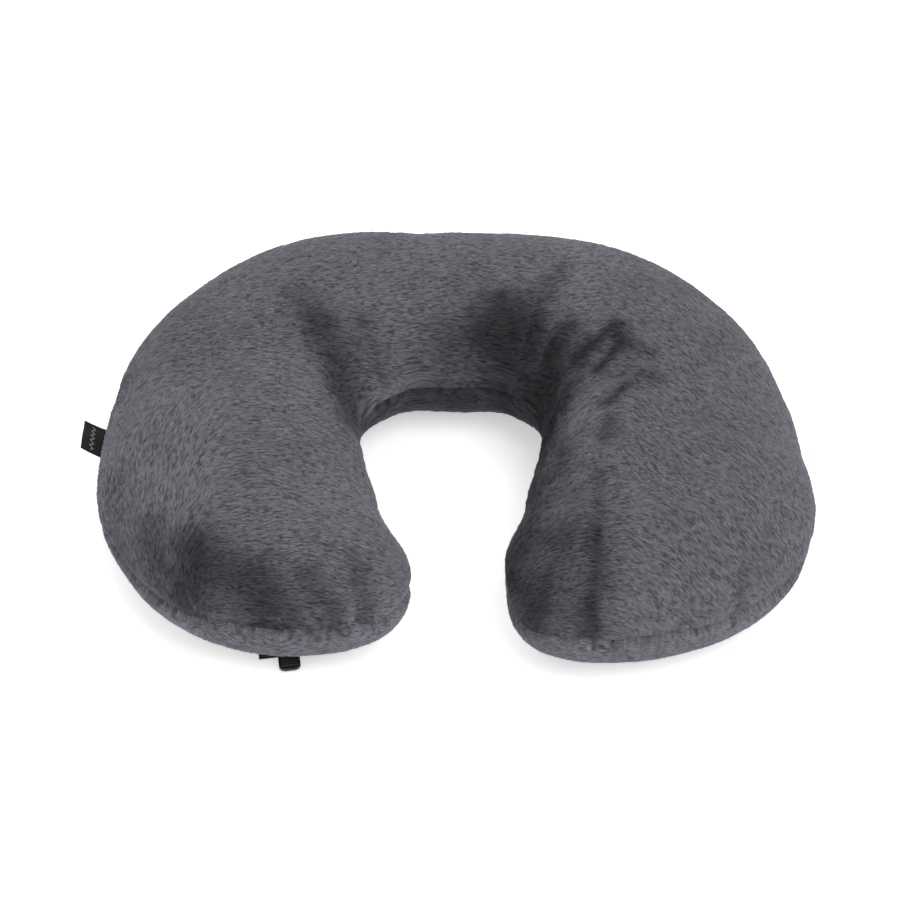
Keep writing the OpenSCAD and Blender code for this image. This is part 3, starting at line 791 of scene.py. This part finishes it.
def add_pile(name, grid, flip, count, seed, material):
    """Short strands over a panel that lie along the nap; the dashes stand up more and are painted
    lighter, the gaps between them painted darker as shade.
    """
    rng = np.random.default_rng(seed)
    corner = grid[:-1, :-1]
    weight = np.linalg.norm(np.cross(grid[1:, :-1] - corner, grid[:-1, 1:] - corner), axis=2)
    x, y = zip_coordinates(corner)
    in_zip = (np.abs(x) < TAPE_W / 2) & (y > 0) & (y < TAPE_L) & (corner[..., 2] < SEAM_Z / 2)
    weight = np.where(in_zip, 0, weight).ravel()
    chosen = rng.choice(weight.size, count, p=weight / weight.sum())
    i, j = np.divmod(chosen, grid.shape[1] - 1)
    u, v = rng.random((2, count))[..., None]

    def on_panel(values):
        near = (1 - u) * values[i, j] + u * values[i + 1, j]
        return (1 - v) * near + v * ((1 - u) * values[i, j + 1] + u * values[i + 1, j + 1])

    outward = normals(grid, flip)
    laid = laid_out(grid, normals(body.half(-1 if flip else 1), flip))
    flat = on_panel(np.dstack([laid, np.zeros(laid.shape[:2])]))
    root, outward = on_panel(grid), on_panel(outward)
    ways = nap_ways(flat)
    lie = nap_direction(flat, ways, outward)
    dash = dashes(flat, ways, seed + 5)
    length = STRAND_L * (0.75 + 0.5 * rng.random((count, 1)))
    stand = STAND + STAND_DASH * dash[:, None] + STAND_RANDOM * rng.random((count, 1))
    root = root - outward * ROOT_DEPTH
    points = np.stack([
        root,
        root + length * (0.30 * lie + 0.22 * outward),
        root + length * (0.66 * lie + (0.08 + stand) * outward),
        root + length * (lie + stand * outward),
    ], axis=1)
    points[..., 2] = np.maximum(points[..., 2], ROOT_DEPTH)
    hair = bpy.data.hair_curves.new(name)
    hair.add_curves([4] * count)
    hair.attributes["position"].data.foreach_set("vector", points.astype(np.float32).ravel())
    radius = hair.attributes.get("radius") or hair.attributes.new("radius", "FLOAT", "POINT")
    taper = np.tile(np.array(STRAND_SHAPE) * STRAND_R, count)
    radius.data.foreach_set("value", taper.astype(np.float32))
    hair.materials.append(material)
    # a random mottle of tone, plus the nap's dark side and the painted shade of the strokes
    dark = 0.14 * noise(root, 24 * MM, 81) + 0.08 * noise(root, 10 * MM, 82)
    dark = dark + dark_nap_and_shade_areas(root, WALL_STROKES if flip else STROKES)
    # painted light on the raised dashes, painted shade in the low gaps between them, and a random tone
    # for each strand
    shade = SHADE_MID + SHADE_DASH * dash - SHADE_GAP * smoothstep((-0.2 - dash) / 0.3)
    shade += SHADE_RANDOM * (rng.random(count) - 0.5)
    for key, values in (("dark", dark), ("shade", shade)):
        set_attribute(hair, key, values, "CURVE")
    piece = new_object(name, hair)
    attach(piece, "pillow")


# the gain makes a lighter or darker copy of one pile colour; the lower panel's copy is painted lighter
def pile_material(name, painted_light_gain):
    material, tree, shader = new_material(name, Roughness=0.75, Specular_IOR_Level=0.2)
    shade = attribute(tree, "shade")
    light = ramp(tree, shade, [(0.0, grey(0.062 * painted_light_gain, 1.12)), (1.0, grey(0.245 * painted_light_gain, 1.12))])
    deep = ramp(tree, shade, [(0.0, grey(0.010 * painted_light_gain, 1.14)), (1.0, grey(0.055 * painted_light_gain, 1.14))])
    # the nap's dark side and the painted shade of the strokes darken the strands
    two_tones(tree, shader, attribute(tree, "dark"), light, deep)
    return material


add_pile("upper_pile", upper_grid, False, STRANDS, 7, pile_material("upper_pile", 1.0))
# painted light: the lower pile is the same fabric as the upper, made 1.25 times lighter
add_pile("lower_pile", lower_grid, True, STRANDS // 2, 8, pile_material("lower_pile", 1.25))

# ======== thread, label and zip ========


TUBE_SIDES = 6


def tube(path, sides, radius):
    """Points and faces of a capped tube along a line of points; its radius may vary along it."""
    path = np.asarray(path)
    n = len(path)
    ahead = np.gradient(path, axis=0)
    ahead /= np.maximum(np.linalg.norm(ahead, axis=1, keepdims=True), 1e-12)
    side = np.cross(ahead, [0.0, 0.0, 1.0])
    weak = np.linalg.norm(side, axis=1) < 1e-3
    side[weak] = [1.0, 0.0, 0.0]
    side /= np.linalg.norm(side, axis=1, keepdims=True)
    up = np.cross(side, ahead)
    a = (2 * np.pi * np.arange(sides) / sides)[None, :, None]
    r = np.broadcast_to(radius, n)[:, None, None]
    points = path[:, None] + r * (np.cos(a) * side[:, None] + np.sin(a) * up[:, None])
    faces = []
    for k in range(n - 1):
        for j in range(sides):
            b = (j + 1) % sides
            faces.append([k * sides + j, (k + 1) * sides + j, (k + 1) * sides + b, k * sides + b])
    faces.append(list(range(sides)))
    faces.append(list(range((n - 1) * sides, n * sides))[::-1])
    return points.reshape(-1, 3), faces


def thread_material(name, tone):
    """Twisted polyester thread."""
    material, tree, shader = new_material(name, Roughness=0.6, Sheen_Weight=0.2, Specular_IOR_Level=0.3)
    twist = texture(tree, "Wave", object_place(tree), 900.0, Distortion=1.5)
    colored(tree, shader, twist, [(0.2, grey(tone * 0.6)), (0.8, grey(tone * 1.3))])
    bumped(tree, shader, twist, 0.5, 0.0001)
    return material


SEAM_STITCH = 3.0 * MM    # length of a stitch
THREAD_R = 0.4 * MM
THREAD_IN = 6.5 * MM      # the stitches lie this far behind the outline
THREAD_DROP = 1.0 * MM
THREAD_WAVE = 0.35 * MM


def seam_thread():
    """The lock stitches that join the two panels inside the seam."""
    centre, reach = moved_in(Body([n // 2 for n in SPAN_STEPS], 8), THREAD_IN, 0.1)
    loop = np.concatenate([centre + reach, (centre - reach)[::-1]])
    loop = np.concatenate([loop, loop[:1]])
    length = np.concatenate([[0], np.cumsum(np.linalg.norm(np.diff(loop, axis=0), axis=1))])
    at = np.arange(0, length[-1], SEAM_STITCH / 4)
    x, y = (np.interp(at, length, loop[:, k]) for k in (0, 1))
    z = SEAM_Z - THREAD_DROP + THREAD_WAVE * np.sin(2 * np.pi * at / SEAM_STITCH)
    points, faces = tube(np.column_stack([x, y, z]), TUBE_SIDES, THREAD_R)
    piece = mesh_object("seam_stitches", points, faces, thread_material("seam_thread", 0.08))
    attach(piece, "pillow")
    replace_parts(piece, "perimeter_seam_thread")


LABEL_L = 24 * MM
LABEL_OUT = 15 * MM       # from the seam's stitches to the fold
LABEL_T = 1.0 * MM
LABEL_ROOT = -200 * MM
LABEL_Y = -4 * MM
LABEL_LEAN = 4 * MM       # the fold lies this far back of the root
LABEL_RISE = 5 * MM       # and this far above it
WEAVE_H, WEAVE_RIBS = 0.05 * MM, 40


def side_label():
    """A woven loop of tape folded on itself, caught in the seam; it carries a plain zigzag only."""
    rows, columns = 26, 17
    u = np.linspace(0, 1, columns)
    v = np.linspace(-0.5, 0.5, rows)
    v_grid, u_grid = np.meshgrid(v, u, indexing="ij")
    x = LABEL_ROOT - LABEL_OUT * u_grid - 1.2 * MM * v_grid
    y = LABEL_Y + LABEL_L * v_grid + LABEL_LEAN * u_grid
    curl = LABEL_RISE * u_grid**1.4 - 0.9 * MM * u_grid * np.sin(3.2 * v_grid)
    curl += 0.3 * MM * np.sin(9 * v_grid + 2 * u_grid)
    z = SEAM_Z + 0.5 * MM + curl
    swell = np.sqrt(np.maximum(1 - u_grid**8, 0.02)) * LABEL_T / 2
    thin = smoothstep((0.5 - np.abs(v_grid)) / 0.03) * 0.4 + 0.6
    weave = WEAVE_H * np.sin(v_grid * 2 * np.pi * WEAVE_RIBS)
    top = np.dstack([x, y, z + swell * thin + weave])
    bottom = np.dstack([x, y, z - swell * thin])
    count = rows * columns
    faces = grid_quads(rows, columns, 0, True).tolist() + grid_quads(rows, columns, count, False).tolist()
    a = np.arange(count).reshape(rows, columns)
    border = [int(k) for k in np.concatenate([a[0], a[1:, -1], a[-1, -2::-1], a[-2:0:-1, 0]])]
    for k, q in zip(border, border[1:] + border[:1]):
        faces.append([k, q, q + count, k + count])
    piece = mesh_object("side_label_woven", in_one_list(top, bottom), faces, label_material())
    flat = np.dstack([u_grid * LABEL_OUT, v_grid * LABEL_L, np.zeros_like(u_grid)])
    set_attribute(piece.data, "laid", in_one_list(flat, flat))
    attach(piece, "pillow")
    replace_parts(piece, "side_label")


ZIG_PITCH = 2.0 * MM
ZIG_X = 8.2 * MM          # where the zigzag runs, from the label's root
ZIG_HALF = 0.55 * MM
ZIG_REACH = 9.6 * MM      # half its length


def label_material():
    """Black damask weave with a plain zigzag along it."""
    material, tree, shader = new_material(
        "label_weave", Roughness=0.7, Sheen_Weight=0.06, Specular_IOR_Level=0.2
    )
    laid = attribute(tree, "laid", "Vector")
    parts = add(tree, "SeparateXYZ", {"Vector": laid})
    x, y = parts.outputs["X"], parts.outputs["Y"]
    zig = math_node(tree, "PINGPONG", y, ZIG_PITCH)
    off = math_node(tree, "SUBTRACT", math_node(tree, "SUBTRACT", x, ZIG_X), zig)
    line = math_node(tree, "LESS_THAN", math_node(tree, "ABSOLUTE", off), ZIG_HALF)
    inside = math_node(tree, "LESS_THAN", math_node(tree, "ABSOLUTE", y), ZIG_REACH)
    mark = math_node(tree, "MULTIPLY", line, inside)
    rib = texture(tree, "Wave", laid, 330.0, bands="Y")
    pick = texture(tree, "Wave", laid, 480.0, bands="X")
    cloth = math_node(tree, "MULTIPLY", rib, pick)
    black = ramp(tree, cloth, [(0.0, grey(0.003)), (1.0, grey(0.012))])
    pale = ramp(tree, cloth, [(0.0, grey(0.10)), (1.0, grey(0.30))])
    two_tones(tree, shader, mark, black, pale)
    bumped(tree, shader, cloth, 0.6, 0.00015)
    return material


def zip_place(tree, turn=0.0):
    """Object coordinates turned so that they run along and across the zip."""
    turned = {"Vector": object_place(tree), "Rotation": (0, 0, turn - ZIP_TURN)}
    return add(tree, "Mapping", turned).outputs[0]


def tape_material():
    """Knitted polyester tape: a fine herringbone of ribs."""
    material, tree, shader = new_material(
        "zip_tape", Roughness=0.65, Sheen_Weight=0.3, Specular_IOR_Level=0.3
    )
    one = texture(tree, "Wave", zip_place(tree, math.radians(35)), 260.0, bands="Y")
    two = texture(tree, "Wave", zip_place(tree, math.radians(-35)), 260.0, bands="Y")
    rows = texture(tree, "Wave", zip_place(tree), 90.0, bands="X")
    side = math_node(tree, "GREATER_THAN", rows, 0.5)
    weave = add(tree, "Mix", {"Factor": side, 2: one, 3: two}, data_type="FLOAT").outputs[0]
    colored(tree, shader, weave, [(0.1, grey(0.006)), (0.9, grey(0.024))])
    bumped(tree, shader, weave, 0.7, 0.00015)
    return material


def worn_material(name, tone, blue, metallic, roughness, grain, coat=0.0):
    """Enamel, rubber, nylon or moulded plastic: a fine grain, uneven gloss and paler worn edges."""
    material, tree, shader = new_material(name, Metallic=metallic, Coat_Weight=coat, Coat_Roughness=0.15)
    place = object_place(tree)
    speck = texture(tree, "Noise", place, grain, Detail=4.0)
    cloud = texture(tree, "Noise", place, 160.0, Detail=3.0)
    edge = add(tree, "NewGeometry").outputs["Pointiness"]
    wear = ramp(tree, edge, [(0.52, (0, 0, 0, 1)), (0.60, (1, 1, 1, 1))])
    base = ramp(tree, cloud, [(0.3, grey(tone * 0.8, blue)), (0.7, grey(tone * 1.2, blue))])
    two_tones(tree, shader, wear, base, grey(min(tone * 2.2 + 0.02, 0.8), blue))
    gloss = math_node(tree, "MULTIPLY_ADD", speck, 0.22, roughness - 0.11)
    tree.links.new(gloss, shader.inputs["Roughness"])
    bumped(tree, shader, speck, 0.35, 0.00008)
    return material


COIL_PITCH = 1.25 * MM
COIL_START = 11.5 * MM
COIL_END = 137.0 * MM
COIL_WIRE = 0.30 * MM
COIL_HALF = 0.78 * MM     # half the height of a loop, to the middle of the wire
COIL_OUT = 2.7 * MM       # a loop's reach from the middle of the chain
COIL_IN = 0.75 * MM
COIL_STEPS = 12           # points to a loop
HEAD_SWELL = 0.3          # the wire is this much thicker at a loop's head


def coil(side, name, node, material):
    """One side of the chain: a nylon filament wound into flat loops, with a head on each loop."""
    turns = int((COIL_END - COIL_START) / COIL_PITCH)
    t = np.arange(turns * COIL_STEPS + 1) / COIL_STEPS
    a = 2 * np.pi * t
    middle, half = (COIL_OUT + COIL_IN) / 2, (COIL_OUT - COIL_IN) / 2
    x = side * (middle - half * np.sign(np.cos(a)) * np.abs(np.cos(a)) ** 0.7)
    z = TAPE_Z - COIL_HALF - COIL_WIRE - 0.05 * MM + COIL_HALF * np.sin(a)
    y = COIL_START + COIL_PITCH * (t + (0.5 if side > 0 else 0.0)) * 0.995
    head = 1 + HEAD_SWELL * (np.cos(a) > 0.7)
    line = np.stack(zip_point(x, y, z), axis=1)
    points, faces = tube(line, TUBE_SIDES, COIL_WIRE * head)
    piece = mesh_object(name, points, faces, material)
    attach(piece, "pillow")
    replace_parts(piece, node)


def finish_node(node, material, bevel):
    """A CAD piece keeps its shape and gets its material, with its sharp edges eased."""
    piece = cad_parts[node]
    piece.data.materials.clear()
    piece.data.materials.append(material)
    if bevel:
        piece.modifiers.new("weld", "WELD").merge_threshold = 0.001 * MM
        eased = piece.modifiers.new("eased", "BEVEL")
        eased.width, eased.segments, eased.angle_limit = bevel, 2, math.radians(40)
        piece.data.shade_smooth()
        piece.modifiers.new("normals", "WEIGHTED_NORMAL").keep_sharp = True


seam_thread()
side_label()
nylon = worn_material("zip_nylon", 0.014, 1.0, 0.0, 0.35, 2200)
coil(-1, "zip_coil_left_wound", "zip_coil_left", nylon)
coil(1, "zip_coil_right_wound", "zip_coil_right", nylon)
enamel = worn_material("zip_metal", 0.020, 1.0, 0.55, 0.32, 1800, coat=0.3)
rubber = worn_material("pull_rubber", 0.010, 1.0, 0.0, 0.55, 2600)
plastic = worn_material("valve_plastic", 0.62, 1.02, 0.0, 0.38, 2400)
silicone = worn_material("silicone", 0.48, 1.0, 0.0, 0.48, 1500)
for material, bevel, nodes in (
    (tape_material(), 0, ["zip_tape_left", "zip_tape_right"]),
    (thread_material("zip_thread", 0.035), 0, ["zip_topstitching", "zip_bar_tacks"]),
    (enamel, 0.22 * MM, ["zip_top_stops", "zip_bottom_stop", "zip_slider_body"]),
    (enamel, 0, ["zip_pull_link"]),
    (rubber, 0.18 * MM, ["zip_pull_tab"]),
    (plastic, 0.12 * MM, ["valve_weld_flange", "valve_body", "valve_cap"]),
    (silicone, 0.08 * MM, ["valve_check_flap", "valve_cap_seal"]),
):
    for node in nodes:
        finish_node(node, material, bevel)

# ======== the bladder inside ========

FILM_T = 0.5 * MM
FILM_STEPS = [14, 8, 8, 10, 12, 12, 12, 12, 10, 8, 8, 14]
FILM_COLUMNS = 36
WELD_IN = 5 * MM          # edge of the weld behind the outline of the cover
FILM_IN = 12 * MM         # where the two sheets part
FILM_DROP = 4.3 * MM      # below the face of the cover
SHEET_Z = 14.2 * MM       # face of the lower sheet over the zip
SHEET_FLOOR = 3.8 * MM    # and elsewhere over the floor
LEVEL_REACH = 38 * MM     # the sheet is level this far from the zip line
LEVEL_RAMP = 24 * MM


def film_half(form, sign):
    """The bladder's face inside the cover, with the flat welded edge as its first and last column."""
    height = ((form.upper_h if sign > 0 else LOWER_H) - FILM_DROP) * form.closing
    rows = []
    for inset, x, z in (
        (WELD_IN, np.array([1.0]), np.zeros(1)),
        (FILM_IN, form.x, form.z),
        (WELD_IN, np.array([-1.0]), np.zeros(1)),
    ):
        centre, reach = moved_in(form, inset, 0.12)
        plan = centre[:, None] + reach[:, None] * x[None, :, None]
        rows.append(np.dstack([plan, SEAM_Z + sign * (FILM_T + height[:, None] * z[None])]))
    return np.concatenate(rows, axis=1)


def above_zip(grid):
    """Lifts the lower sheet off the cover's base and clear of the zip."""
    x, y = zip_coordinates(grid)
    away = np.hypot(x, y - np.clip(y, 0, TAPE_L))
    lift = np.clip((LEVEL_REACH + LEVEL_RAMP - away) / LEVEL_RAMP, 0, 1)
    least = SHEET_FLOOR + (SHEET_Z - SHEET_FLOOR) * lift
    raised = grid.copy()
    raised[..., 2] = np.minimum(SEAM_Z, np.maximum(grid[..., 2], least))
    return raised


def film_sheet(name, form, sign, material):
    """One sheet of the bladder, slightly wrinkled, with its flat welded edge."""
    grid = film_half(form, sign)
    wrinkle = 0.5 * MM * noise(grid, 22 * MM, 60) + 0.25 * MM * noise(grid, 9 * MM, 61)
    wrinkle[:, [0, 1, -2, -1]] = 0
    grid = grid - normals(grid, sign < 0) * np.abs(wrinkle)[..., None]
    inside = grid - normals(grid, sign < 0) * FILM_T
    if sign < 0:
        grid = above_zip(grid)
        inside = above_zip(inside)
        inside[..., 2] = np.maximum(inside[..., 2], grid[..., 2] + 0.8 * FILM_T)
    inside[:, [0, 1, -2, -1], 2] = SEAM_Z
    piece = panel(name, grid, inside, 1, sign < 0, material)
    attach(piece, "pillow")
    return piece


def film_material():
    material, tree, shader = new_material(
        "bladder_film", Roughness=0.32, Specular_IOR_Level=0.5, Coat_Weight=0.3, Coat_Roughness=0.2,
    )
    place = object_place(tree)
    cloud = texture(tree, "Noise", place, 45.0, Detail=3.0)
    colored(tree, shader, cloud, [(0.3, (0.30, 0.34, 0.40, 1)), (0.7, (0.42, 0.46, 0.52, 1))])
    bumped(tree, shader, texture(tree, "Noise", place, 900.0, Detail=2.0), 0.3, 0.0002)
    return material


film_form = Body(FILM_STEPS, FILM_COLUMNS)
film = film_material()
for name, sign in (("bladder_upper_sheet", 1), ("bladder_lower_sheet", -1)):
    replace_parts(film_sheet(name + "_film", film_form, sign, film), name)

# ======== floor, light and camera ========

TARGET = Vector((0, 0, SEAM_Z))
FLOOR_HALF = 6.0
DISTANCE = 1.249
ELEVATION = math.radians(45.0)
CAMERA_YAW = math.radians(0.7)
CAMERA_ROLL = math.radians(0.6)
SENSOR_W = 36.0           # mm
LENS = 86.0               # mm


def add_floor():
    points = [(x * FLOOR_HALF, y * FLOOR_HALF, 0) for x, y in ((-1, -1), (1, -1), (1, 1), (-1, 1))]
    floor = mesh_object("floor", points, [[0, 1, 2, 3]], floor_material(), smooth=False)


def add_area(name, place, size, power):
    light = bpy.data.lights.new(name, "AREA")
    light.shape, light.size, light.energy = "DISK", size, power
    lamp = new_object(name, light)
    lamp.location = place
    lamp.rotation_euler = (TARGET - Vector(place)).to_track_quat("-Z", "Y").to_euler()


def add_camera():
    data = bpy.data.cameras.new("camera")
    data.sensor_width, data.lens = SENSOR_W, LENS
    data.shift_x, data.shift_y = -0.0034, -0.0026     # the photo's framing
    camera = new_object("camera", data)
    back = Vector((0, -math.cos(ELEVATION), math.sin(ELEVATION)))
    back.rotate(Matrix.Rotation(CAMERA_YAW, 3, "Z"))
    camera.location = TARGET + back * DISTANCE
    turn = (-back).to_track_quat("-Z", "Y").to_matrix() @ Matrix.Rotation(CAMERA_ROLL, 3, "Z")
    camera.rotation_euler = turn.to_euler()
    bpy.context.scene.camera = camera


def set_world():
    world = bpy.data.worlds.new("studio")
    world.use_nodes = True
    background = world.node_tree.nodes["Background"]
    background.inputs["Color"].default_value = (1, 1, 1, 1)
    background.inputs["Strength"].default_value = 0.85
    bpy.context.scene.world = world


add_floor()
add_area("key", (0.6, -0.7, 1.6), 1.2, 15)
add_area("fill", (-0.5, 0.9, 1.4), 1.2, 4)
add_camera()
set_world()
bpy.context.scene.view_settings.view_transform = "Standard"
